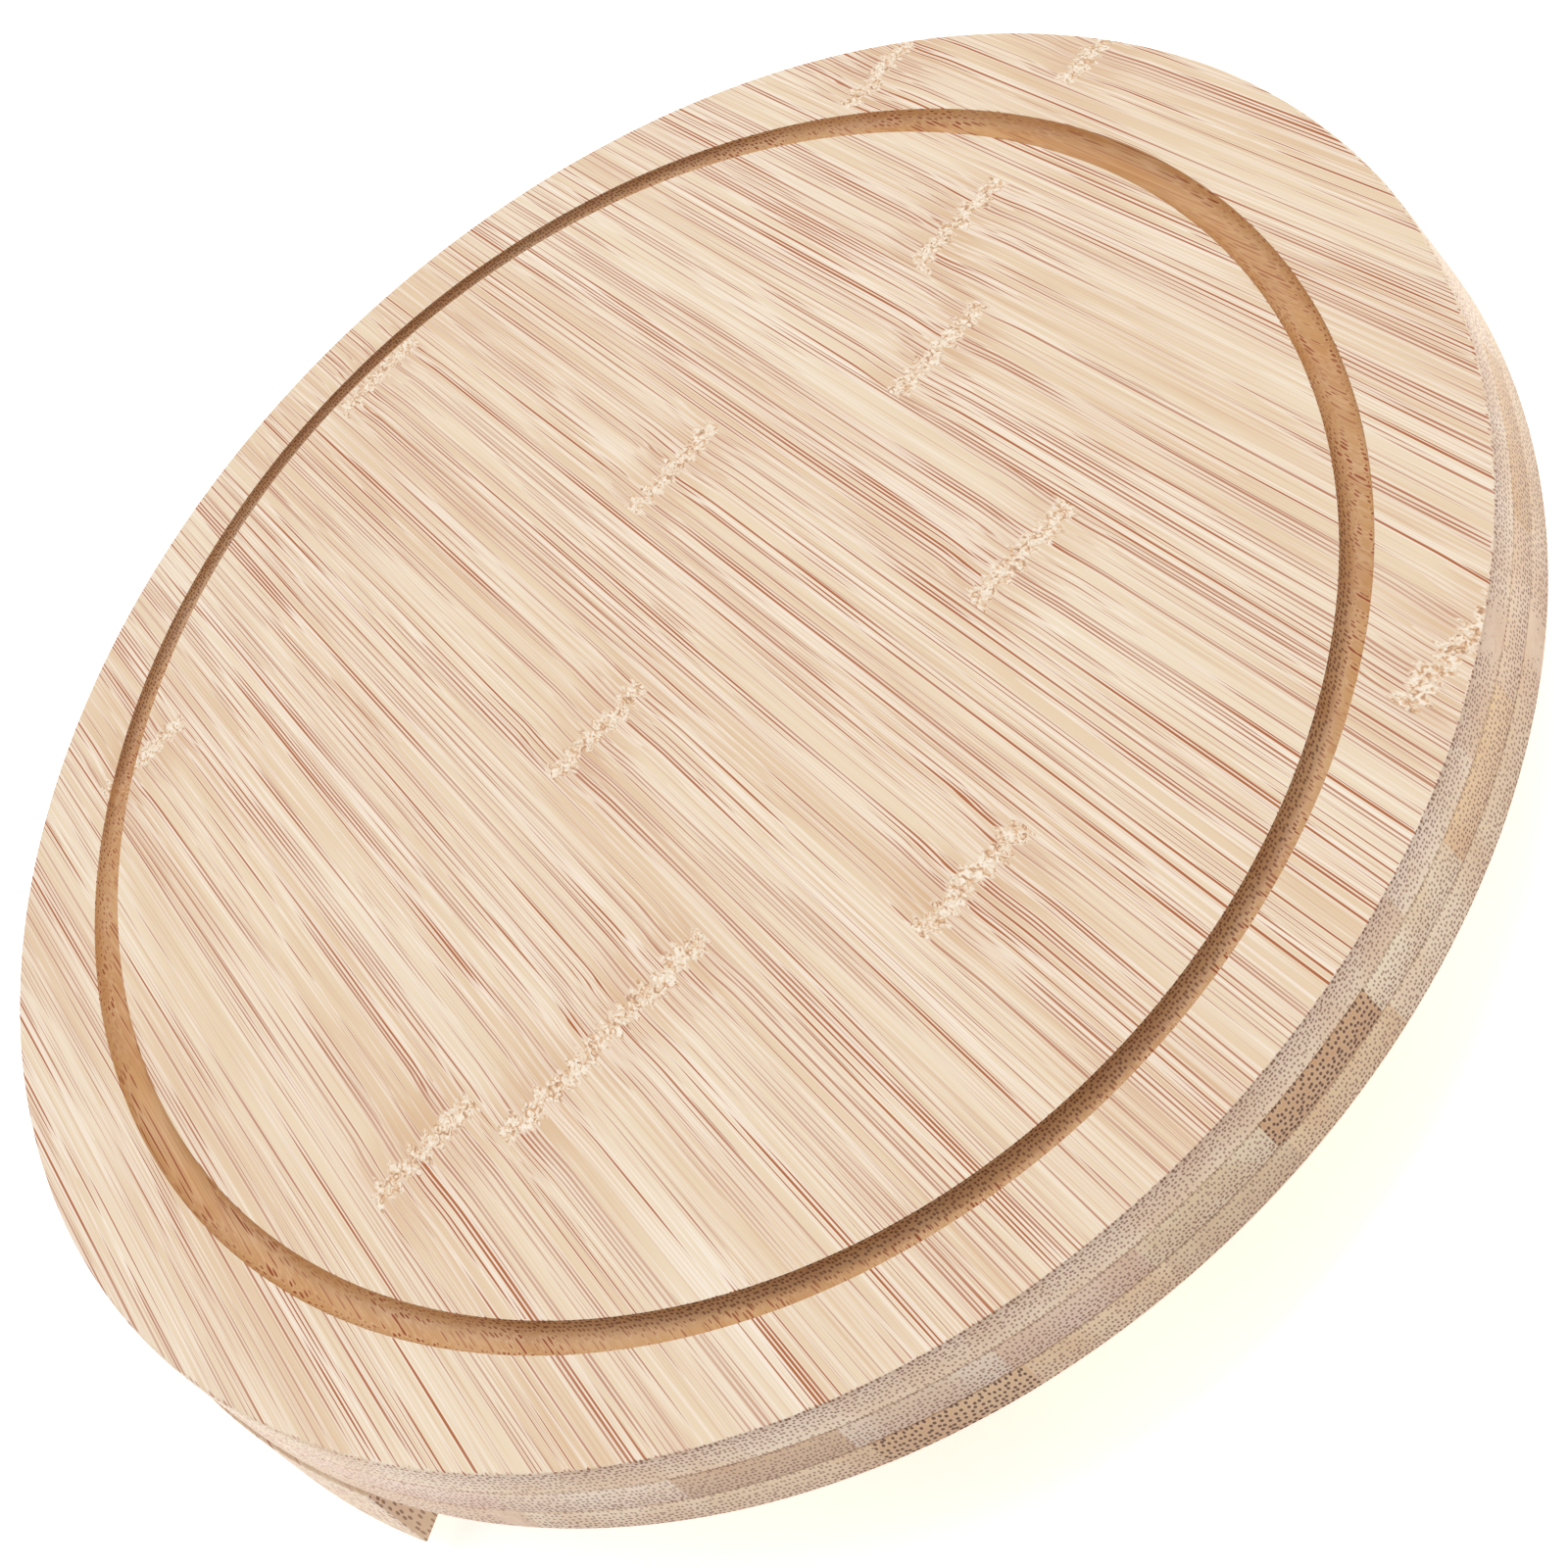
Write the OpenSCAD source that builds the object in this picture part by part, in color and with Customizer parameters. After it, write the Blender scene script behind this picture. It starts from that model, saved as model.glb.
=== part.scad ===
// Lazy susan: an oval bamboo board with a crumb groove that turns on a ball
// bearing ring over a small round base. Millimetres, +Z up, origin on the table
// under the bearing's centre, +X along the board.

/* [Board] */
// Length of the oval board
board_length = 400; // [340:1:480]
// Width of the oval board
board_width = 281; // [234:1:338]
// Thickness of each of the board's three plies
board_ply = 5; // [4:0.5:8]
// Step that eases the board's lower edge
edge_round = 0.6; // [0.3:0.1:1.5]

/* [Crumb groove] */
// Flat rim left between the board's edge and the groove
groove_land = 19.8; // [14:0.1:30]
// Width of the groove at the board's top face
groove_width = 5.8; // [4:0.1:8]
// Depth of the groove
groove_depth = 2.7; // [1.5:0.1:3.5]

/* [Grip rails] */
// Height of the curved rails glued under the rim
rail_height = 13.5; // [8:0.1:16.2]
// Width of a rail, measured in from the rim
rail_width = 20; // [12:0.5:22]
// How far a rail stands out past the rim
rail_proud = 0.6; // [0:0.1:1.5]
// Angle about the centre at which the front rail starts
rail_start = -112; // [-130:1:-105]
// Angle about the centre at which the front rail ends
rail_end = -51; // [-75:1:-45]
// Number of dowels in each rail
rail_dowels = 3; // [2:1:4]
// Diameter of a rail dowel
dowel_d = 6; // [4:0.5:8]
// Length of a rail dowel
dowel_length = 15; // [10:1:18]

/* [Bearing ring] */
// Diameter of the circle that the balls run on
ball_circle_d = 112; // [95:1:135]
// Diameter of a ball
ball_d = 4; // [3:0.1:5]
// Number of balls
ball_count = 24; // [12:1:30]
// Height of each race
race_height = 7.4; // [6.5:0.1:9]
// Width of each race
race_width = 12; // [11:0.5:14]
// Gap between the two races
race_gap = 2.4; // [2:0.1:2.6]
// Gap under the turning race, and over the fixed one
race_lift = 0.6; // [0.4:0.1:1]
// Clearance between a ball and its tracks
ball_clearance = 0.1; // [0.05:0.01:0.1]
// Thickness of the ball cage
cage_wall = 1.4; // [1.2:0.1:1.5]
// Height of the ball cage
cage_height = 5.6; // [5.4:0.1:6.2]

/* [Base] */
// Diameter of the round base
base_d = 200; // [165:1:224]
// Thickness of each of the base's two plies
base_ply = 3; // [2.5:0.5:5]
// Gap kept between the base's edge and the rails that turn round it
turning_gap = 3; // [1:0.5:6]
// Diameter of the hole that the upper screws are reached through
access_d = 12; // [9:0.5:14]
// Diameter of a rubber foot
foot_d = 18; // [14:1:24]
// Height of a rubber foot
foot_height = 3; // [2.5:0.5:6]
// Distance of the feet from the base's edge
foot_inset = 15; // [13:1:20]

/* [Screws] */
// Shank diameter of every screw
screw_d = 3.5; // [3:0.5:4]
// Head diameter of every screw
head_d = 6.6; // [6:0.1:7]
// Head height of the race screws
head_h = 2.2; // [1.8:0.1:2.4]
// Head height of the foot screws
foot_head_h = 1.3; // [1:0.1:1.5]
// Length of the screws that hold the turning race
top_screw_length = 11; // [9:0.5:13]
// Length of the screws that hold the fixed race
base_screw_length = 9; // [7:0.5:9.5]
// Length of the screws that hold the feet
foot_screw_length = 6; // [5:0.5:6.5]
// Clearance round a shank, a head or a dowel
slip = 0.1; // [0.05:0.05:0.2]

/* [Hidden] */
$fn = 96;
groove_steps = 4;
SCREWS = 4;
DOWELS = 2 * rail_dowels;
function numbered(name, count) = [for (i = [1:count]) str(name, "_", i)];

// Heights
base_z = foot_height;
race_z = base_z + 2 * base_ply;
board_z = race_z + race_height + race_lift;
board_top = board_z + 3 * board_ply;
ball_z = (race_z + board_z) / 2;

// Radii
ball_r = ball_circle_d / 2;
inner_face = ball_r - race_gap / 2;
outer_face = ball_r + race_gap / 2;
inner_screw_r = inner_face - race_width / 2;
outer_screw_r = outer_face + race_width / 2;
foot_r = base_d / 2 - foot_inset;

half_l = board_length / 2;
half_w = board_width / 2;

// An upright oval solid whose side lies this far in from the board's edge. The
// slab gives it flat ends, and the stretched cylinder only its side.
module oval(inset, height) {
    slab = 2 * board_length;
    intersection() {
        translate([-slab / 2, -slab / 2, 0]) cube([slab, slab, height]);
        translate([0, 0, -1]) scale([half_l - inset, half_w - inset, 1])
            cylinder(r = 1, h = height + 2, $fn = 240);
    }
}

// The band of the oval that lies between two distances from the board's edge
module oval_band(outer, inner, height) {
    difference() {
        oval(outer, height);
        translate([0, 0, -1]) oval(inner, height + 2);
    }
}

// Places children on a circle, at one of the even steps that the screws stand at
module ring_of(radius, first, index) {
    rotate([0, 0, first + index * 360 / SCREWS]) translate([radius, 0, 0]) children();
}

module inner_screw_place(i) { ring_of(inner_screw_r, 0, i) children(); }
module outer_screw_place(i) { ring_of(outer_screw_r, 45, i) children(); }
module foot_place(i) { ring_of(foot_r, 45, i) children(); }

// Screw heads rest on these levels, each a little below the face round it
head_sunk = 0.2;
foot_head_sunk = 0.5;
head_seat = head_h + race_lift / 2 + head_sunk;
top_seat_z = race_z + race_lift + head_seat;
base_seat_z = race_z + race_height - head_seat;
foot_seat_z = foot_head_h + foot_head_sunk;

module top_screw_holes() {
    for (i = [0:SCREWS - 1]) inner_screw_place(i)
        translate([0, 0, top_seat_z]) cylinder(d = screw_d + slip, h = top_screw_length + slip);
}

module base_screw_holes() {
    for (i = [0:SCREWS - 1]) {
        outer_screw_place(i) translate([0, 0, base_seat_z - base_screw_length - slip])
            cylinder(d = screw_d + slip, h = base_screw_length + slip);
        foot_place(i) translate([0, 0, foot_seat_z])
            cylinder(d = screw_d + slip, h = foot_screw_length + slip);
    }
}

// Rails: the first lies at the front, the second is the same turned half round
rail_z = board_z - rail_height;
rail_span = rail_end - rail_start;
dowel_z = board_z - dowel_length / 2;
// Share of a rail's span that lies beyond its end dowels
dowel_margin = 0.14;
// The polar radius of an ellipse with the board's own axes
function rim_at(angle) = half_l * half_w
    / sqrt(pow(half_w * cos(angle), 2) + pow(half_l * sin(angle), 2));

module dowel_place(i) {
    on_rail = i % rail_dowels;
    half_turn = i < rail_dowels ? 0 : 180;
    angle = rail_start
        + rail_span * (dowel_margin + (1 - 2 * dowel_margin) * on_rail / (rail_dowels - 1));
    rotate([0, 0, half_turn + angle])
        translate([rim_at(angle) - rail_width / 2, 0, dowel_z]) children();
}

module dowel_holes() {
    for (i = [0:DOWELS - 1]) dowel_place(i)
        translate([0, 0, -slip]) cylinder(d = dowel_d + slip, h = dowel_length + 2 * slip);
}

module top_ply() {
    color("burlywood") difference() {
        translate([0, 0, board_z + 2 * board_ply]) oval(0, board_ply);
        // The cutter's round nose, in level cuts that narrow towards the bottom
        for (step = [0:groove_steps - 1]) {
            depth = groove_depth * (step + 1) / groove_steps;
            narrowed = groove_width / 2 * (1 - sqrt(1 - pow(step / groove_steps, 2)));
            translate([0, 0, board_top - depth])
                oval_band(groove_land + narrowed, groove_land + groove_width - narrowed, depth + 1);
        }
    }
}

module middle_ply() {
    color("tan") difference() {
        translate([0, 0, board_z + board_ply]) oval(0, board_ply);
        top_screw_holes();
        dowel_holes();
    }
}

module bottom_ply() {
    color("burlywood") difference() {
        union() {
            translate([0, 0, board_z]) oval(edge_round, board_ply);
            translate([0, 0, board_z + edge_round]) oval(0, board_ply - edge_round);
        }
        top_screw_holes();
        dowel_holes();
    }
}

module grip_rail(turn) {
    reach = board_length;
    middle = (rail_start + rail_end) / 2;
    color("burlywood") difference() {
        intersection() {
            translate([0, 0, rail_z]) oval_band(-rail_proud, rail_width, rail_height);
            rotate([0, 0, turn]) linear_extrude(height = board_z) polygon([
                [0, 0],
                reach * [cos(rail_start), sin(rail_start)],
                2 * reach * [cos(middle), sin(middle)],
                reach * [cos(rail_end), sin(rail_end)]
            ]);
        }
        // On a narrow board the rail's inner face is relieved, so that it clears the base
        translate([0, 0, rail_z - 1])
            cylinder(d = base_d + 2 * turning_gap, h = rail_height + 2, $fn = 180);
        dowel_holes();
    }
}

module rail_dowel(i) {
    color("wheat") dowel_place(i) cylinder(d = dowel_d, h = dowel_length);
}

// One race: a ring with a round ball track cut into the face that the balls meet
module race(inner_r, z) {
    difference() {
        translate([0, 0, z]) rotate_extrude($fn = 180)
            translate([inner_r, 0]) square([race_width, race_height]);
        translate([0, 0, ball_z]) rotate_extrude($fn = 180)
            translate([ball_r, 0]) circle(ball_d / 2 + ball_clearance, $fn = 48);
    }
}

module inner_race() {
    color("silver") difference() {
        race(inner_face - race_width, race_z + race_lift);
        top_screw_holes();
        for (i = [0:SCREWS - 1]) inner_screw_place(i)
            cylinder(d = head_d + 4 * slip, h = top_seat_z);
    }
}

module outer_race() {
    color("silver") difference() {
        race(outer_face, race_z);
        base_screw_holes();
        for (i = [0:SCREWS - 1]) outer_screw_place(i)
            translate([0, 0, base_seat_z]) cylinder(d = head_d + 4 * slip, h = race_height);
    }
}

module ball_place(i) { rotate([0, 0, i * 360 / ball_count]) translate([ball_r, 0, ball_z]) children(); }

module ball_cage() {
    color("white") difference() {
        translate([0, 0, ball_z - cage_height / 2]) rotate_extrude($fn = 180)
            translate([ball_r - cage_wall / 2, 0]) square([cage_wall, cage_height]);
        for (i = [0:ball_count - 1]) ball_place(i) rotate([0, 90, 0])
            cylinder(d = ball_d + 2 * ball_clearance, h = 2 * cage_wall, center = true, $fn = 32);
    }
}

module bearing_balls() {
    color("gainsboro") for (i = [0:ball_count - 1]) ball_place(i) sphere(d = ball_d, $fn = 32);
}

// A round-headed wood screw pointing up from its seat, with a cross recess
module screw(length, head) {
    recess = head * 0.6;
    difference() {
        union() {
            cylinder(d = screw_d, h = length - screw_d / 2);
            translate([0, 0, length - screw_d / 2])
                cylinder(d1 = screw_d, d2 = screw_d / 3, h = screw_d / 2);
            translate([0, 0, -head]) cylinder(d = head_d, h = head);
        }
        for (turn = [0, 90]) translate([0, 0, recess / 2 - head]) rotate([0, 0, turn])
            cube([head_d * 0.55, head_d * 0.14, recess + 0.01], center = true);
    }
}

module inner_race_screw(i) {
    color("lightgray") inner_screw_place(i) translate([0, 0, top_seat_z])
        screw(top_screw_length, head_h);
}

module outer_race_screw(i) {
    color("lightgray") outer_screw_place(i) translate([0, 0, base_seat_z]) rotate([180, 0, 0])
        screw(base_screw_length, head_h);
}

module foot_screw(i) {
    color("lightgray") foot_place(i) translate([0, 0, foot_seat_z])
        screw(foot_screw_length, foot_head_h);
}

module base_upper_ply() {
    color("burlywood") base_disc(base_z + base_ply);
}

module base_lower_ply() {
    color("burlywood") base_disc(base_z);
}

module base_disc(z) {
    difference() {
        translate([0, 0, z]) cylinder(d = base_d, h = base_ply, $fn = 180);
        base_screw_holes();
        rotate([0, 0, 45]) translate([inner_screw_r, 0, 0]) cylinder(d = access_d, h = race_z + 1);
    }
}

module foot(i) {
    color("dimgray") foot_place(i) difference() {
        cylinder(d = foot_d, h = foot_height);
        translate([0, 0, -1]) cylinder(d = screw_d + 2 * slip, h = foot_height + 2);
        translate([0, 0, -1]) cylinder(d = head_d + 4 * slip, h = foot_seat_z + 1);
    }
}

top_ply();
middle_ply();
bottom_ply();
grip_rail(0);  // grip_rail_1
grip_rail(180);  // grip_rail_2
inner_race();
ball_cage();
bearing_balls();
outer_race();
base_upper_ply();
base_lower_ply();
for (i = [0:DOWELS - 1])
    rail_dowel(i);
for (i = [0:SCREWS - 1]) {
    inner_race_screw(i);
    outer_race_screw(i);
    foot(i);
    foot_screw(i);
}
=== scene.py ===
import math

import bmesh
import bpy
from mathutils import Matrix, Vector


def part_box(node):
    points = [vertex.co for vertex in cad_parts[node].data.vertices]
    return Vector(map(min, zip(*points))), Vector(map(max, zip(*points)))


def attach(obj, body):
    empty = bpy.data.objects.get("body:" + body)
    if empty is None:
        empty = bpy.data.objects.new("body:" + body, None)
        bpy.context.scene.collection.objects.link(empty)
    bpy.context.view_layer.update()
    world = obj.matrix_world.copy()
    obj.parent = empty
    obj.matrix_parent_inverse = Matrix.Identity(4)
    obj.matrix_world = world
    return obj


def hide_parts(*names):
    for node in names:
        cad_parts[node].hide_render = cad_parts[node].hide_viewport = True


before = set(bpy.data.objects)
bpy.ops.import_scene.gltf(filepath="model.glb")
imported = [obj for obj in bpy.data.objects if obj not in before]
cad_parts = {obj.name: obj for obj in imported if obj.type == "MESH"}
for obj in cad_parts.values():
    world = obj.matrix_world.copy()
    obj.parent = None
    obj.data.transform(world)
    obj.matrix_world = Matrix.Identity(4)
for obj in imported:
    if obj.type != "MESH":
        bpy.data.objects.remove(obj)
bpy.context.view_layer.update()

MM = 0.001


# Studio: the board lies on a white table in a broad, soft light. The camera stands
# past one end of the board, looks down along it, and is turned an eighth of a turn.
top_low, top_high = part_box("top_ply")
half_length = top_high.x
half_width = top_high.y
board_top = top_high.z

camera_data = bpy.data.cameras.new("camera")
camera_data.sensor_width = 36
camera_data.lens = 85.4
camera_data.clip_end = 20
camera = bpy.data.objects.new("camera", camera_data)
bpy.context.scene.collection.objects.link(camera)
camera_place = Vector((565.2 * MM, -17.6 * MM, board_top + 300.5 * MM))
camera_aim = Vector((66.1 * MM, -1.6 * MM, board_top))
level = (camera_aim - camera_place).to_track_quat("-Z", "Y").to_matrix().to_4x4()
camera.matrix_world = Matrix.Translation(camera_place) @ level @ Matrix.Rotation(math.radians(-44.9), 4, "Z")
bpy.context.scene.camera = camera
bpy.context.scene.view_settings.view_transform = "Standard"

world = bpy.data.worlds.new("white_room")
world.use_nodes = True
world.node_tree.nodes["Background"].inputs["Color"].default_value = (1, 1, 1, 1)
world.node_tree.nodes["Background"].inputs["Strength"].default_value = 0.58
bpy.context.scene.world = world

# Each lamp's name, place in metres, power in watts and width in metres
for name, place, watts, width in (("key", (-0.3, 1.6, 2.8), 46, 1.8), ("fill", (-1.2, -1.4, 2.2), 20, 2.0)):
    lamp_data = bpy.data.lights.new(name, "AREA")
    lamp_data.energy = watts
    lamp_data.size = width
    lamp = bpy.data.objects.new(name, lamp_data)
    lamp.location = place
    lamp.rotation_euler = (-Vector(place)).to_track_quat("-Z", "Y").to_euler()
    bpy.context.scene.collection.objects.link(lamp)


def srgb(code):
    """A hex colour, such as d9c2a4, as the linear colour that a shader takes."""
    shares = [int(code[i : i + 2], 16) / 255 for i in (0, 2, 4)]
    return tuple(((c + 0.055) / 1.055) ** 2.4 if c > 0.04045 else c / 12.92 for c in shares) + (1,)


def add(tree, kind, inputs=None, **settings):
    """Adds a node to a material with its settings, and links or fills its inputs."""
    node = tree.nodes.new(kind)
    for key, value in settings.items():
        setattr(node, key, value)
    for key, value in (inputs or {}).items():
        if isinstance(value, bpy.types.NodeSocket):
            tree.links.new(value, node.inputs[key])
        else:
            node.inputs[key].default_value = value
    return node


def new_material(name, roughness, metallic=0.0, ior=1.5):
    material = bpy.data.materials.new(name)
    material.use_nodes = True
    shader = material.node_tree.nodes["Principled BSDF"]
    shader.inputs["Roughness"].default_value = roughness
    shader.inputs["Metallic"].default_value = metallic
    shader.inputs["IOR"].default_value = ior
    return material, material.node_tree, shader


# White acrylic, matt and lit a little from below, as for catalogue pictures
white_acrylic, tree, shader = new_material("opal_white_acrylic", 0.9)
shader.inputs["Base Color"].default_value = srgb("fbfbfb")
shader.inputs["Emission Color"].default_value = srgb("ffffff")
shader.inputs["Emission Strength"].default_value = 0.5
shader.inputs["Specular IOR Level"].default_value = 0.1
table_mesh = bmesh.new()
bmesh.ops.create_grid(table_mesh, x_segments=2, y_segments=2, size=4)
table_data = bpy.data.meshes.new("table")
table_mesh.to_mesh(table_data)
table_mesh.free()
table_data.materials.append(white_acrylic)
table = bpy.data.objects.new("table", table_data)
bpy.context.scene.collection.objects.link(table)


# Top ply: moso bamboo strips 22 mm wide, glued edge to edge, planed to 5 mm and
# sanded. A round-nosed cutter has cut the crumb groove and scorched it a little.
STRIP = 22.0
# Mean distance between the fibre bundles in mm. They are dots in a sawn end and long
# lines on a face.
BUNDLE_PITCH = 0.63
COARSE_PITCH = 0.8


def stepped(tree, share, values):
    """A colour or number for each strip, from a ramp with one flat step a strip."""
    ramp = add(tree, "ShaderNodeValToRGB", {"Fac": share})
    ramp.color_ramp.interpolation = "CONSTANT"
    elements = ramp.color_ramp.elements
    for i, value in enumerate(values):
        step = elements[i] if i < 2 else elements.new(i / len(values))
        step.position = i / len(values)
        step.color = value if isinstance(value, tuple) else (value, value, value, 1)
    return ramp.outputs["Color"]


def bamboo(name, first_strip, tones, seed, ply, outer_side=1, nodes=None, coarse=(), scorch=None):
    """Bamboo strips along X as a solid grain, so that faces, edges and grooves agree.

    first_strip is where the first strip starts across the board, in mm, tones has a
    colour for each strip, ply is the two heights of the ply, nodes are the places of
    the nodes along each strip, and coarse are the strips with large, dark bundles.
    """
    material, tree, shader = new_material(name, 0.5, ior=1.48)

    def calc(operation, *values):
        return add(tree, "ShaderNodeMath", dict(enumerate(values)), operation=operation).outputs[0]

    def remap(value, low, high, to_low, to_high, smooth=False):
        return add(tree, "ShaderNodeMapRange", {0: value, 1: low, 2: high, 3: to_low, 4: to_high},
                   interpolation_type="SMOOTHSTEP" if smooth else "LINEAR").outputs[0]

    def stretched(vector, scales):
        return add(tree, "ShaderNodeVectorMath", {0: vector, 1: scales}, operation="MULTIPLY").outputs[0]

    def blended(share, first, second, blend="MIX"):
        return add(tree, "ShaderNodeMix", {0: share, 6: first, 7: second}, data_type="RGBA",
                   blend_type=blend).outputs[2]

    def noise(vector, scales, detail):
        return add(tree, "ShaderNodeTexNoise", {"Vector": stretched(vector, scales), "Scale": 1.0,
                                                "Detail": detail})

    where = add(tree, "ShaderNodeTexCoord")
    mm = stretched(where.outputs["Object"], (1000, 1000, 1000))
    x, y, z = add(tree, "ShaderNodeSeparateXYZ", {0: mm}).outputs
    facing = add(tree, "ShaderNodeSeparateXYZ", {0: where.outputs["Normal"]})
    sawn_end = remap(calc("ABSOLUTE", facing.outputs[0]), 0.25, 0.6, 0.0, 1.0, smooth=True)
    along_grain = calc("SUBTRACT", 1.0, sawn_end)

    # Which strip this is, and three random numbers of its own
    index = calc("FLOOR", calc("DIVIDE", calc("SUBTRACT", y, first_strip), STRIP))
    share = calc("DIVIDE", calc("ADD", index, 0.5), float(len(tones)))
    seeded = add(tree, "ShaderNodeTexWhiteNoise", {"Vector": (seed, 0, 0), "W": index}, noise_dimensions="4D")
    chance_a, chance_b, chance_c = add(tree, "ShaderNodeSeparateColor", {0: seeded.outputs["Color"]}).outputs

    # A node is the ring where a branch grew. Its edge is ragged, and the bundles on
    # its two sides don't line up.
    if nodes:
        spots = [stepped(tree, share, [(row.get(i, -250) + 250) / 500 for i in range(len(tones))])
                 for row in nodes]
        gaps = [calc("SUBTRACT", x, calc("MULTIPLY_ADD", spot, 500.0, -250.0)) for spot in spots]
    else:
        gaps = [calc("SUBTRACT", x, calc("MULTIPLY_ADD", chance_b, 360.0, -180.0))]
    ragged = noise(mm, (0.03, 0.75, 0.75), 2.0).outputs["Fac"]
    jag = calc("MULTIPLY_ADD", ragged, 14.0, -7.0)
    edges = [calc("ADD", gap, jag) for gap in gaps]
    distance = calc("ABSOLUTE", edges[0])
    side = calc("GREATER_THAN", edges[0], 0.0)
    for other in edges[1:]:
        distance = calc("MINIMUM", distance, calc("ABSOLUTE", other))
        side = calc("ADD", side, calc("GREATER_THAN", other, 0.0))
    knot = remap(distance, 2.2, 3.8, 1.0, 0.0, smooth=True)
    halo = remap(distance, 4.0, 22.0, 1.0, 0.0, smooth=True)

    # Grain coordinates: a random start for each strip and each side of its nodes. The
    # bundles wander a little sideways and dip below the face, where their line ends.
    start = calc("MULTIPLY_ADD", side, 43.1, calc("MULTIPLY", chance_a, 90.0))
    grain = add(tree, "ShaderNodeCombineXYZ", {0: calc("ADD", x, calc("MULTIPLY", start, 10.0)),
                                               1: calc("ADD", y, start), 2: z}).outputs[0]
    wander = noise(grain, (0.006, 0.11, 0.11), 1.0).outputs["Color"]
    dip = noise(grain, (0.009, 0.55, 0.55), 1.0).outputs["Fac"]
    bend = add(tree, "ShaderNodeSeparateColor", {0: wander}).outputs[0]
    grain_y = calc("MULTIPLY_ADD", bend, 1.6, calc("ADD", y, start))
    grain_y = calc("MULTIPLY_ADD", calc("MULTIPLY", halo, ragged), 0.8, grain_y)

    # Fibre bundles crowd and darken towards the strip's outer side
    inner, outer = ply if outer_side > 0 else (ply[1], ply[0])
    outward = remap(z, inner, outer, 0.0, 1.0)
    crowded = calc("MULTIPLY", calc("MULTIPLY_ADD", outward, 0.4, 0.6), calc("MULTIPLY", outward, 4.73))
    row = calc("MULTIPLY_ADD", calc("MULTIPLY", calc("SUBTRACT", dip, 0.5), along_grain), 1.5, crowded)
    is_coarse = stepped(tree, share, [1.0 if i in coarse else 0.0 for i in range(len(tones))])
    density = remap(is_coarse, 0.0, 1.0, 1 / BUNDLE_PITCH, 1 / COARSE_PITCH)
    section = add(tree, "ShaderNodeCombineXYZ", {0: calc("MULTIPLY", grain_y, density),
                                                 1: calc("MULTIPLY", row, density)}).outputs[0]
    bundle = add(tree, "ShaderNodeTexVoronoi", {"Vector": section, "Scale": 1.0, "Randomness": 0.55},
                 voronoi_dimensions="2D")
    own = add(tree, "ShaderNodeSeparateColor", {0: bundle.outputs["Color"]}).outputs[0]
    from_bundle = bundle.outputs["Distance"]
    end_reach = calc("MULTIPLY_ADD", is_coarse, 0.02, remap(outward, 0.0, 1.0, 0.3, 0.4))
    reach = add(tree, "ShaderNodeMix", {0: sawn_end, 2: remap(own, 0.0, 1.0, 0.12, 0.42), 3: end_reach}).outputs[0]
    core = add(tree, "ShaderNodeMapRange", {0: from_bundle, 1: reach, 2: calc("MULTIPLY", reach, 0.6), 3: 0.0,
                                            4: 1.0}, interpolation_type="SMOOTHSTEP").outputs[0]
    # Painted highlight: the pale band just outside each bundle's dark core
    painted_highlight = add(tree, "ShaderNodeMapRange", {0: from_bundle, 1: calc("MULTIPLY", reach, 1.9),
                                            2: calc("MULTIPLY", reach, 1.2), 3: 0.0, 4: 1.0}).outputs[0]
    patches = noise(grain, (0.009, 0.16, 0.16), 3.0).outputs["Fac"]
    strength = add(tree, "ShaderNodeMix", {0: sawn_end, 2: remap(patches, 0.36, 0.58, 0.5, 1.0),
                                           3: remap(outward, 0.0, 1.0, 0.7, 1.0)}).outputs[0]
    strength = calc("MAXIMUM", strength, calc("MULTIPLY", is_coarse, 0.95))
    mark = calc("MULTIPLY", calc("MULTIPLY", core, strength), calc("SUBTRACT", 1.0, knot))

    # Ground tissue between them: cream in broad bands on a face, with a painted highlight,
    # a pale band beside each bundle, and greyer and duller in a sawn end
    ground = stepped(tree, share, [srgb(tone) for tone in tones])
    bands = noise(grain, (0.006, 0.1, 0.1), 2.0).outputs["Fac"]
    ground = blended(remap(bands, 0.42, 0.62, 0.0, 0.6), ground, srgb("f0e0d0"), "MULTIPLY")
    ground = blended(calc("MULTIPLY", halo, 0.4), ground, srgb("ead2bc"), "MULTIPLY")
    ground = blended(remap(chance_c, 0.0, 1.0, 0.0, 0.3), ground, srgb("f3e4d2"), "MULTIPLY")
    fine = noise(grain, (0.012, 2.6, 2.6), 1.0).outputs["Fac"]
    streak = calc("MULTIPLY", remap(fine, 0.46, 0.3, 0.0, 0.5), along_grain)
    ground = blended(streak, ground, srgb("cb9f7a"))
    # Painted highlight mixed in: near-white beside each bundle on a face, faint round the dots of a sawn end
    painted_highlight_share = calc("MULTIPLY", calc("MULTIPLY", painted_highlight, strength), calc("MULTIPLY_ADD", along_grain, 0.5, 0.12))
    ground = blended(painted_highlight_share, ground, srgb("f8ecdf"))
    ground = blended(calc("MULTIPLY", sawn_end, remap(outward, 0.0, 1.0, 0.5, 0.95)), ground, srgb("e0dae0"),
                     "MULTIPLY")
    end_line = blended(is_coarse, srgb("83604c"), srgb("5a3823"))
    colour = blended(mark, ground, blended(sawn_end, srgb("ab5f2a"), end_line))

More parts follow.
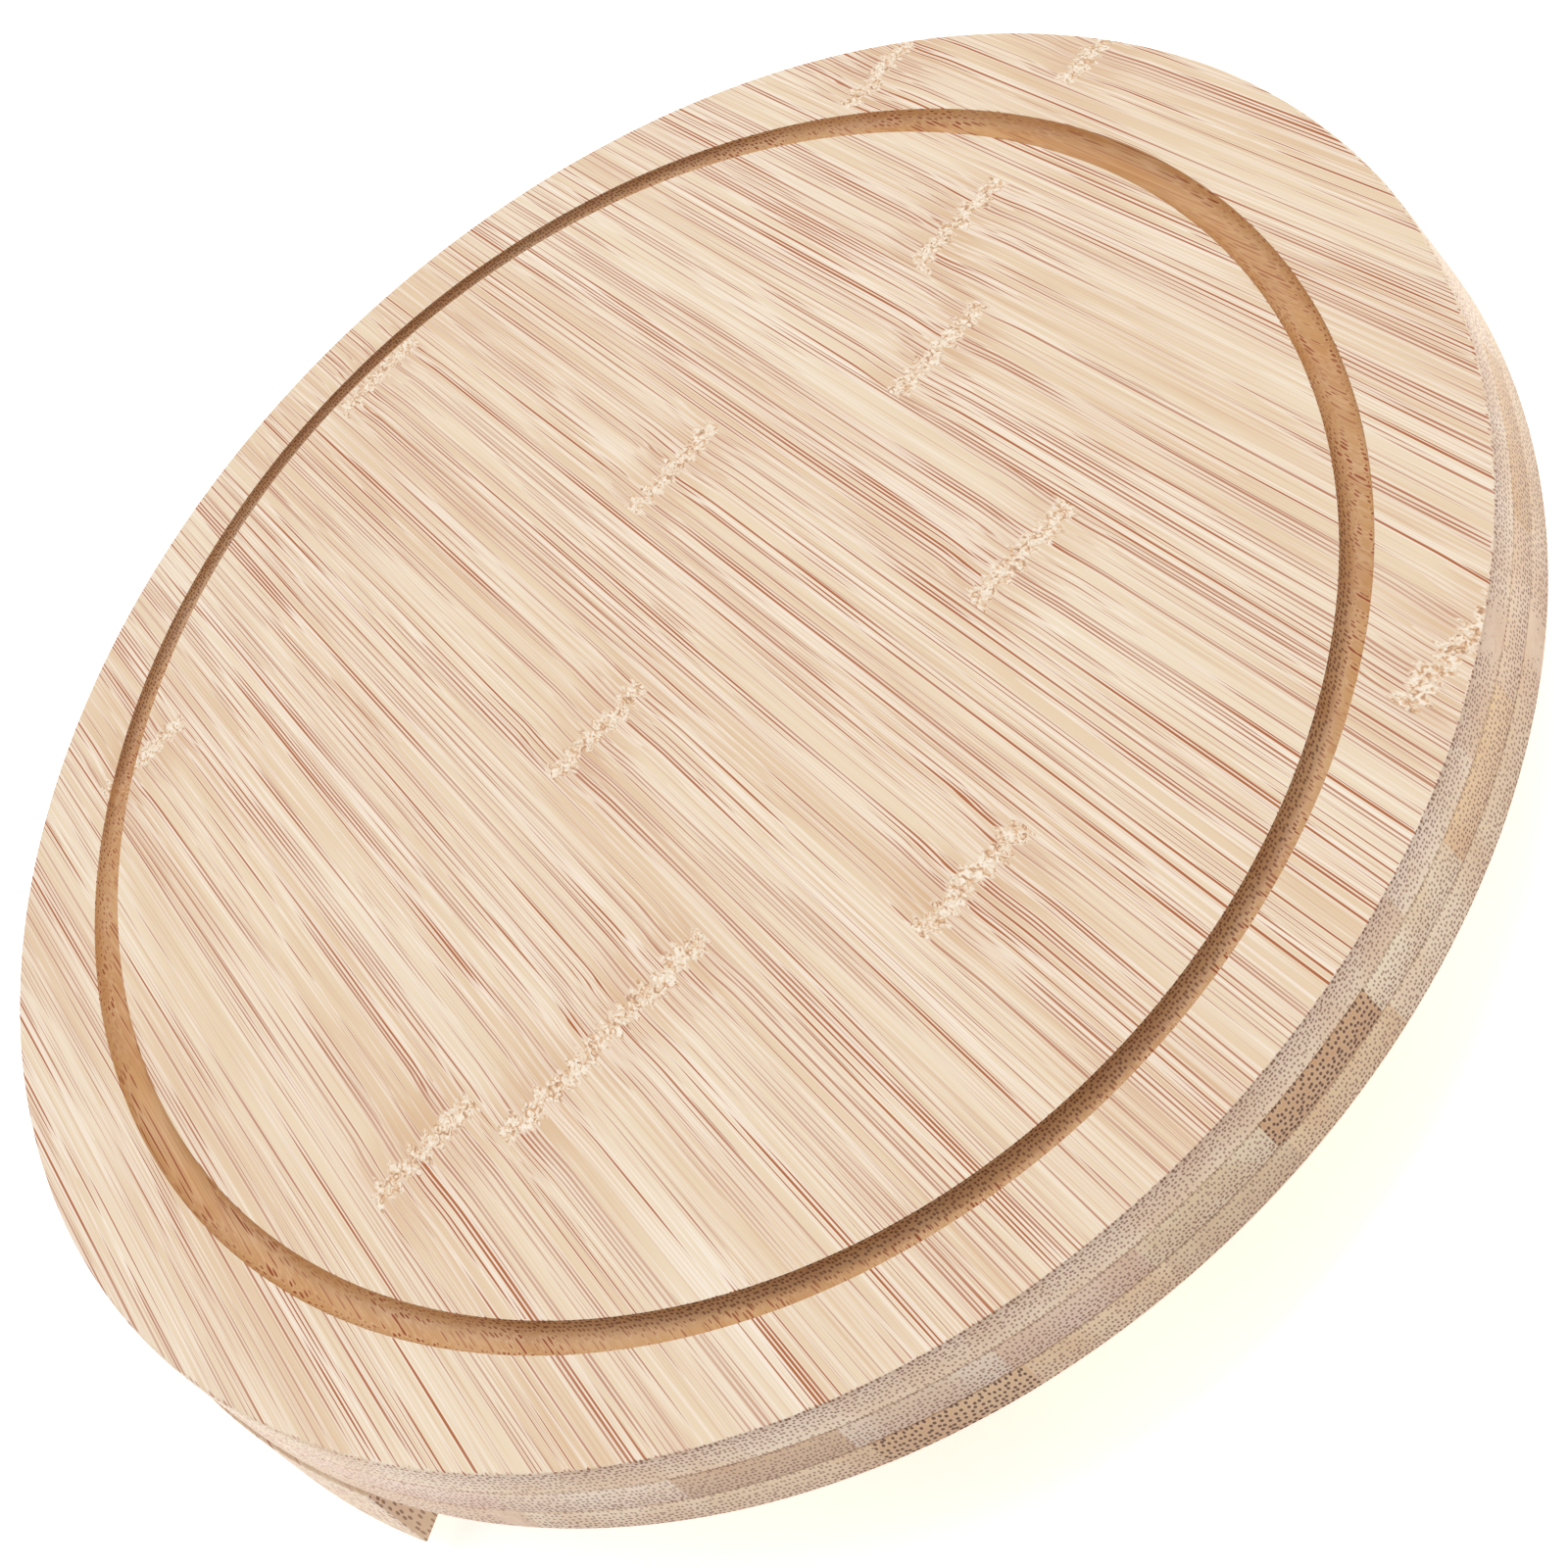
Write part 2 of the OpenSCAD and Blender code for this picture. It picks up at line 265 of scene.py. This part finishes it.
    # Inside a node: short curled fibres, cream, orange and grey, and small dark pits
    curl = add(tree, "ShaderNodeTexNoise", {"Vector": stretched(mm, (0.6, 1.3, 1.3)), "Scale": 1.0,
                                            "Detail": 2.0, "Distortion": 1.2}).outputs["Fac"]
    curled = add(tree, "ShaderNodeValToRGB", {"Fac": curl})
    stops = curled.color_ramp.elements
    stops[0].position, stops[0].color = 0.34, srgb("a97c5b")
    stops[1].position, stops[1].color = 0.64, srgb("f7ead8")
    stops.new(0.42).color = srgb("dcae82")
    stops.new(0.5).color = srgb("e6d2b8")
    pits = add(tree, "ShaderNodeTexVoronoi", {"Vector": stretched(mm, (0.8, 0.95, 0.95)), "Scale": 1.0})
    pitted = blended(remap(pits.outputs["Distance"], 0.3, 0.12, 0.0, 0.5, smooth=True),
                     curled.outputs["Color"], srgb("8d6f5b"))
    colour = blended(calc("MULTIPLY", calc("MULTIPLY", knot, along_grain), 0.88), colour, pitted)

    if scorch:
        heat = noise(mm, (0.05, 0.05, 0.5), 2.0).outputs["Fac"]
        colour = blended(remap(heat, 0.35, 0.65, 0.85, 1.0), colour, srgb(scorch), "MULTIPLY")
    tree.links.new(colour, shader.inputs["Base Color"])
    tree.links.new(remap(mark, 0.0, 1.0, 0.48, 0.66), shader.inputs["Roughness"])

    # Sanding leaves the curled fibres of a node uneven, and the bundles' pores open
    height = calc("SUBTRACT", calc("MULTIPLY", curl, calc("MULTIPLY", knot, 3.0)), mark)
    bump = add(tree, "ShaderNodeBump", {"Height": height, "Strength": 0.35, "Distance": 0.06 * MM})
    tree.links.new(bump.outputs[0], shader.inputs["Normal"])
    return material


def oval_slab(low, high):
    """A bmesh of the board's outline between two heights, and its top face."""
    mesh = bmesh.new()
    bmesh.ops.create_circle(mesh, cap_ends=True, segments=360, radius=1)
    outline = Matrix.Translation((0, 0, low)) @ Matrix.Diagonal((half_length, half_width, 1, 1))
    bmesh.ops.transform(mesh, verts=mesh.verts, matrix=outline)
    grown = bmesh.ops.extrude_face_region(mesh, geom=mesh.faces[:], use_keep_orig=True)
    lifted = [part for part in grown["geom"] if isinstance(part, bmesh.types.BMVert)]
    bmesh.ops.translate(mesh, verts=lifted, vec=(0, 0, high - low))
    bmesh.ops.recalc_face_normals(mesh, faces=mesh.faces)
    top = max(mesh.faces, key=lambda face: face.calc_center_median().z)
    return mesh, top


def rim_edges(mesh, height):
    """The edges at one height that lie on the board's outline."""
    return [edge for edge in mesh.edges
            if all(abs(v.co.z - height) < 1e-6 for v in edge.verts)
            and all((v.co.x / half_length) ** 2 + (v.co.y / half_width) ** 2 > 0.999 for v in edge.verts)]


def ease(mesh, edges, offset, segments=2):
    """Rounds edges over, as sanding does."""
    bmesh.ops.bevel(mesh, geom=edges, offset=offset, segments=segments, profile=0.5, affect="EDGES",
                    material=-1)


def step_in(mesh, face, old_inset, new_inset, drop):
    """Moves an oval face inward and down, which leaves a band of faces round it."""
    made = bmesh.ops.inset_region(mesh, faces=[face], thickness=0, use_boundary=True)
    shrink = Matrix.Diagonal(((half_length - new_inset) / (half_length - old_inset),
                              (half_width - new_inset) / (half_width - old_inset), 1, 1))
    bmesh.ops.transform(mesh, verts=face.verts, matrix=Matrix.Translation((0, 0, -drop)) @ shrink)
    return made["faces"]


def finish_piece(name, mesh, materials, body, cad_nodes):
    """Turns a bmesh into a piece that rides on a body in place of its CAD nodes."""
    bmesh.ops.recalc_face_normals(mesh, faces=mesh.faces)
    data = bpy.data.meshes.new(name)
    mesh.to_mesh(data)
    mesh.free()
    data.polygons.foreach_set("use_smooth", [True] * len(data.polygons))
    data.set_sharp_from_angle(angle=math.radians(32))
    for material in materials:
        data.materials.append(material)
    piece = bpy.data.objects.new(name, data)
    piece.modifiers.new("flat_faces", "WEIGHTED_NORMAL").keep_sharp = True
    bpy.context.scene.collection.objects.link(piece)
    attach(piece, body)
    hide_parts(*cad_nodes)
    return piece


# Where the nodes lie along each of the thirteen strips, in mm; two have a second one
top_nodes = [{2: -118, 3: 80, 4: 80, 5: 10, 6: -169, 7: -39, 8: 69, 9: 2, 10: -26, 11: -95, 12: -35},
             {2: 65, 6: 122, 9: 167}]
top_tones = ["e9d6ba"] * 13
top_heights = (top_low.z / MM, top_high.z / MM)
sanded_face = bamboo("sanded_bamboo", -137.0, top_tones, 3.0, top_heights, nodes=top_nodes)
scorched_groove = bamboo("cutter_scorched_bamboo", -137.0, top_tones, 3.0, top_heights, nodes=top_nodes,
                         scorch="ddb98b")
land = 19.8 * MM
groove_width = 5.8 * MM
groove_depth = 2.7 * MM
nose_cuts = 16
top_mesh, top_face = oval_slab(top_low.z, top_high.z)
step_in(top_mesh, top_face, 0, land, 0)
groove_faces = []
for cut in range(nose_cuts):
    before, after = (math.pi * (cut + end) / nose_cuts for end in (0, 1))
    inset_before, inset_after = (land + groove_width / 2 * (1 - math.cos(a)) for a in (before, after))
    groove_faces += step_in(top_mesh, top_face, inset_before, inset_after,
                            groove_depth * (math.sin(after) - math.sin(before)))
for face in groove_faces:
    face.material_index = 1
top_mesh.normal_update()
lips = [edge for edge in top_mesh.edges
        if len({face.material_index for face in edge.link_faces}) == 2]
ease(top_mesh, lips, 0.25 * MM)
ease(top_mesh, rim_edges(top_mesh, top_high.z), 0.6 * MM, 3)
ease(top_mesh, rim_edges(top_mesh, top_low.z), 0.12 * MM, 1)
finish_piece("top_board", top_mesh, [sanded_face, scorched_groove], "board", ["top_ply"])


# Middle ply: the same strips, hidden but for the rim, so the maker uses mixed stock:
# pale, brown and pink strips side by side, and one with large open bundles.
middle_low, middle_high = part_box("middle_ply")
middle_tones = ["e4cfb4", "e9d2be", "ead8bf", "cfb08c", "e2d3bd", "e0c8b0", "e3d3b2", "cda678",
                "ecdcbc", "e6c698", "e8cfae", "dcbc8e", "e6d2b4", "dfc8a8"]
mixed_bamboo = bamboo("mixed_core_bamboo", -147.9, middle_tones, 11.0, (middle_low.z / MM, middle_high.z / MM),
                      outer_side=-1, coarse=(7,))
middle_mesh, _ = oval_slab(middle_low.z, middle_high.z)
for height in (middle_low.z, middle_high.z):
    ease(middle_mesh, rim_edges(middle_mesh, height), 0.12 * MM, 1)
finish_piece("middle_board", middle_mesh, [mixed_bamboo], "board", ["middle_ply"])


# Bottom ply: mixed stock like the middle one, with the bundles' dense side down. Its
# lower edge is sanded round so that fingers slip under the rim.
bottom_low, bottom_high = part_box("bottom_ply")
bottom_tones = ["e6d2b5", "e4cdb0", "e8d5b8", "e2cba9", "d3b085", "e3cba6", "dccaa9", "e4cca5",
                "ead9bb", "e5d0ae", "e8d4b6", "e2caa6", "e7d3b2", "e4ceac"]
under_bamboo = bamboo("sanded_bamboo_underside", -146.5, bottom_tones, 23.0,
                      (bottom_low.z / MM, bottom_high.z / MM), outer_side=-1, coarse=(4,))
bottom_mesh, _ = oval_slab(bottom_low.z, bottom_high.z)
ease(bottom_mesh, rim_edges(bottom_mesh, bottom_high.z), 0.12 * MM, 1)
ease(bottom_mesh, rim_edges(bottom_mesh, bottom_low.z), 0.6 * MM, 3)
finish_piece("bottom_board", bottom_mesh, [under_bamboo], "board", ["bottom_ply"])


# Grip rails: two curved bamboo bars under the rim, sawn from the same stock, glued
# and dowelled on, their edges sanded over. Fingers lift and turn the board by them.
rail_low, rail_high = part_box("grip_rail_1")
rail_bamboo = bamboo("sanded_rail_bamboo", -141.0, ["e3ccae", "e8d3b6", "dfc6a4", "e6cfb0"] * 3 + ["e3ccae"],
                     37.0, (rail_low.z / MM, rail_high.z / MM), nodes=[{}])
rail_width = 20 * MM
rail_proud = 0.6 * MM
rail_start, rail_end = math.radians(-112), math.radians(-51)
for number, turn in ((1, 0), (2, math.pi)):
    rail_mesh, rail_face = oval_slab(rail_low.z, rail_high.z)
    bmesh.ops.delete(rail_mesh, geom=[f for f in rail_mesh.faces if f != rail_face], context="FACES")
    step_in(rail_mesh, rail_face, 0, rail_width, 0)
    proud = Matrix.Diagonal((1 + rail_proud / half_length, 1 + rail_proud / half_width, 1, 1))
    outer = [v for v in rail_mesh.verts if v not in rail_face.verts[:]]
    bmesh.ops.transform(rail_mesh, verts=outer, matrix=proud)
    bmesh.ops.delete(rail_mesh, geom=[rail_face], context="FACES")
    for angle, side in ((rail_start, -1), (rail_end, 1)):
        cut_normal = Vector((-math.sin(angle), math.cos(angle), 0)) * side
        bmesh.ops.bisect_plane(rail_mesh, geom=rail_mesh.verts[:] + rail_mesh.edges[:] + rail_mesh.faces[:],
                               dist=1e-7, plane_co=(0, 0, 0), plane_no=cut_normal, clear_outer=True)
    grown = bmesh.ops.extrude_face_region(rail_mesh, geom=rail_mesh.faces[:], use_keep_orig=True)
    lowered = [part for part in grown["geom"] if isinstance(part, bmesh.types.BMVert)]
    bmesh.ops.translate(rail_mesh, verts=lowered, vec=(0, 0, rail_low.z - rail_high.z))
    bmesh.ops.rotate(rail_mesh, verts=rail_mesh.verts, cent=(0, 0, 0), matrix=Matrix.Rotation(turn, 3, "Z"))
    bmesh.ops.recalc_face_normals(rail_mesh, faces=rail_mesh.faces)
    sharp = [e for e in rail_mesh.edges if e.calc_face_angle(0) > math.radians(40)]
    ease(rail_mesh, sharp, 0.35 * MM)
    finish_piece(f"rail_{number}", rail_mesh, [rail_bamboo], "board", [f"grip_rail_{number}"])


# Rail dowels: 6 mm fluted beech pins, pressed and glued into rail and board. Beech
# is a plain pinkish wood with short dark flecks along it.
beech, tree, shader = new_material("turned_beech", 0.55)
where = add(tree, "ShaderNodeTexCoord")
along = add(tree, "ShaderNodeMapping", {"Vector": where.outputs["Object"], "Scale": (1800, 1800, 320)})
flecks = add(tree, "ShaderNodeTexVoronoi", {"Vector": along.outputs[0], "Scale": 1.0})
flecked = add(tree, "ShaderNodeMapRange", {0: flecks.outputs["Distance"], 1: 0.35, 2: 0.1, 3: 0.0, 4: 0.5})
beech_colour = add(tree, "ShaderNodeMix", {0: flecked.outputs[0], 6: srgb("dcbb92"), 7: srgb("a87a52")},
                   data_type="RGBA")
tree.links.new(beech_colour.outputs[2], shader.inputs["Base Color"])


def finish_node(name, material):
    """Gives a CAD node that stays as it is its finish."""
    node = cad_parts[name]
    node.data.materials.clear()
    node.data.materials.append(material)


for number in range(1, 7):
    finish_node(f"rail_dowel_{number}", beech)


# Races: two rings turned from aluminium bar, with a ball track between them. The
# lathe tool leaves fine rings, drawn at 0.3 mm because the real 0.1 mm wouldn't show.
def eased_copy(node, offset, segments=2):
    """A CAD node's mesh with its triangles joined and its sharp edges broken."""
    mesh = bmesh.new()
    mesh.from_mesh(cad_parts[node].data)
    bmesh.ops.remove_doubles(mesh, verts=mesh.verts, dist=1e-6)
    bmesh.ops.dissolve_limit(mesh, angle_limit=math.radians(0.5), verts=mesh.verts, edges=mesh.edges)
    bmesh.ops.recalc_face_normals(mesh, faces=mesh.faces)
    ease(mesh, [e for e in mesh.edges if e.calc_face_angle(0) > math.radians(50)], offset, segments)
    return mesh


aluminium, tree, shader = new_material("turned_aluminium", 0.34, metallic=1.0)
where = add(tree, "ShaderNodeTexCoord")
flat = add(tree, "ShaderNodeVectorMath", {0: where.outputs["Object"], 1: (1, 1, 0)}, operation="MULTIPLY")
radius = add(tree, "ShaderNodeVectorMath", {0: flat.outputs[0]}, operation="LENGTH")
tool_pitch = add(tree, "ShaderNodeMath", {0: radius.outputs["Value"], 1: 1 / (0.3 * MM)}, operation="MULTIPLY")
rings = add(tree, "ShaderNodeTexNoise", {"W": tool_pitch.outputs[0], "Scale": 1.0, "Detail": 2.0},
            noise_dimensions="1D")
ring_tone = add(tree, "ShaderNodeMix", {0: rings.outputs["Fac"], 6: srgb("b4b8bc"), 7: srgb("dadcde")},
                data_type="RGBA")
tree.links.new(ring_tone.outputs[2], shader.inputs["Base Color"])
ring_gloss = add(tree, "ShaderNodeMapRange", {0: rings.outputs["Fac"], 1: 0.3, 2: 0.7, 3: 0.26, 4: 0.42})
tree.links.new(ring_gloss.outputs[0], shader.inputs["Roughness"])
ring_bump = add(tree, "ShaderNodeBump", {"Height": rings.outputs["Fac"], "Strength": 0.25,
                                         "Distance": 0.02 * MM})
tree.links.new(ring_bump.outputs[0], shader.inputs["Normal"])
for race, body in (("inner_race", "board"), ("outer_race", "base")):
    finish_piece(f"turned_{race}", eased_copy(race, 0.3 * MM), [aluminium], body, [race])


# Cage and balls: a moulded nylon band that spaces 24 ground steel balls. Nylon is a
# little waxy and yellowish, with a fine grain from its mould.
nylon, tree, shader = new_material("moulded_nylon", 0.45, ior=1.53)
shader.inputs["Subsurface Weight"].default_value = 0.15
shader.inputs["Subsurface Scale"].default_value = 1 * MM
where = add(tree, "ShaderNodeTexCoord")
grit = add(tree, "ShaderNodeTexNoise", {"Vector": where.outputs["Object"], "Scale": 1 / (0.5 * MM),
                                        "Detail": 2.0})
nylon_tone = add(tree, "ShaderNodeMix", {0: grit.outputs["Fac"], 6: srgb("e2ded0"), 7: srgb("f1eee4")},
                 data_type="RGBA")
tree.links.new(nylon_tone.outputs[2], shader.inputs["Base Color"])
nylon_bump = add(tree, "ShaderNodeBump", {"Height": grit.outputs["Fac"], "Strength": 0.2,
                                          "Distance": 0.02 * MM})
tree.links.new(nylon_bump.outputs[0], shader.inputs["Normal"])
finish_node("ball_cage", nylon)

bearing_steel, tree, shader = new_material("ground_steel", 0.12, metallic=1.0)
where = add(tree, "ShaderNodeTexCoord")
oil = add(tree, "ShaderNodeTexNoise", {"Vector": where.outputs["Object"], "Scale": 1 / (2 * MM)})
steel_tone = add(tree, "ShaderNodeMix", {0: oil.outputs["Fac"], 6: srgb("c2c5c9"), 7: srgb("e0e2e4")},
                 data_type="RGBA")
tree.links.new(steel_tone.outputs[2], shader.inputs["Base Color"])
steel_gloss = add(tree, "ShaderNodeMapRange", {0: oil.outputs["Fac"], 1: 0.3, 2: 0.7, 3: 0.08, 4: 0.2})
tree.links.new(steel_gloss.outputs[0], shader.inputs["Roughness"])
finish_node("bearing_balls", bearing_steel)


# Screws: zinc-plated steel, with the faint bluish mottling that the plating bath
# leaves. Four hold each race and four the feet.
zinc, tree, shader = new_material("zinc_plated_steel", 0.35, metallic=1.0)
where = add(tree, "ShaderNodeTexCoord")
mottle = add(tree, "ShaderNodeTexNoise", {"Vector": where.outputs["Object"], "Scale": 1 / (1.2 * MM),
                                          "Detail": 3.0})
zinc_tone = add(tree, "ShaderNodeMix", {0: mottle.outputs["Fac"], 6: srgb("a9b0b8"), 7: srgb("d3d3cc")},
                data_type="RGBA")
tree.links.new(zinc_tone.outputs[2], shader.inputs["Base Color"])
zinc_gloss = add(tree, "ShaderNodeMapRange", {0: mottle.outputs["Fac"], 1: 0.3, 2: 0.7, 3: 0.28, 4: 0.46})
tree.links.new(zinc_gloss.outputs[0], shader.inputs["Roughness"])
for kind in ("inner_race_screw", "outer_race_screw", "foot_screw"):
    for number in range(1, 5):
        finish_node(f"{kind}_{number}", zinc)


# Base: two thin bamboo discs glued together, with sawn rims and broken edges. They
# stay still on the table while the board turns over them.
base_tones = ["e2cba8", "e8d4b4", "ddc29c", "e5cfae", "e0c8a4", "e9d6b8", "dfc5a0", "e6d0ae", "e3cca9"]
for node, seed in (("base_lower_ply", 53.0), ("base_upper_ply", 71.0)):
    low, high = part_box(node)
    disc_bamboo = bamboo(f"sanded_bamboo_{node}", low.y / MM - 4.0, base_tones + ["e4cdab"], seed,
                         (low.z / MM, high.z / MM), outer_side=-1)
    finish_piece(node.replace("ply", "disc"), eased_copy(node, 0.35 * MM), [disc_bamboo], "base",
                 [node])


# Feet: moulded rubber pads, each held by a screw sunk in its middle. Dark, matt and
# faintly dusty, with the spark-eroded grain of the mould.
rubber, tree, shader = new_material("moulded_rubber", 0.8, ior=1.52)
where = add(tree, "ShaderNodeTexCoord")
erosion = add(tree, "ShaderNodeTexNoise", {"Vector": where.outputs["Object"], "Scale": 1 / (0.6 * MM),
                                           "Detail": 3.0})
rubber_tone = add(tree, "ShaderNodeMix", {0: erosion.outputs["Fac"], 6: srgb("242426"), 7: srgb("47474a")},
                  data_type="RGBA")
tree.links.new(rubber_tone.outputs[2], shader.inputs["Base Color"])
rubber_bump = add(tree, "ShaderNodeBump", {"Height": erosion.outputs["Fac"], "Strength": 0.4,
                                           "Distance": 0.05 * MM})
tree.links.new(rubber_bump.outputs[0], shader.inputs["Normal"])
for number in range(1, 5):
    finish_piece(f"rubber_foot_{number}", eased_copy(f"foot_{number}", 0.5 * MM, 3), [rubber], "base",
                 [f"foot_{number}"])
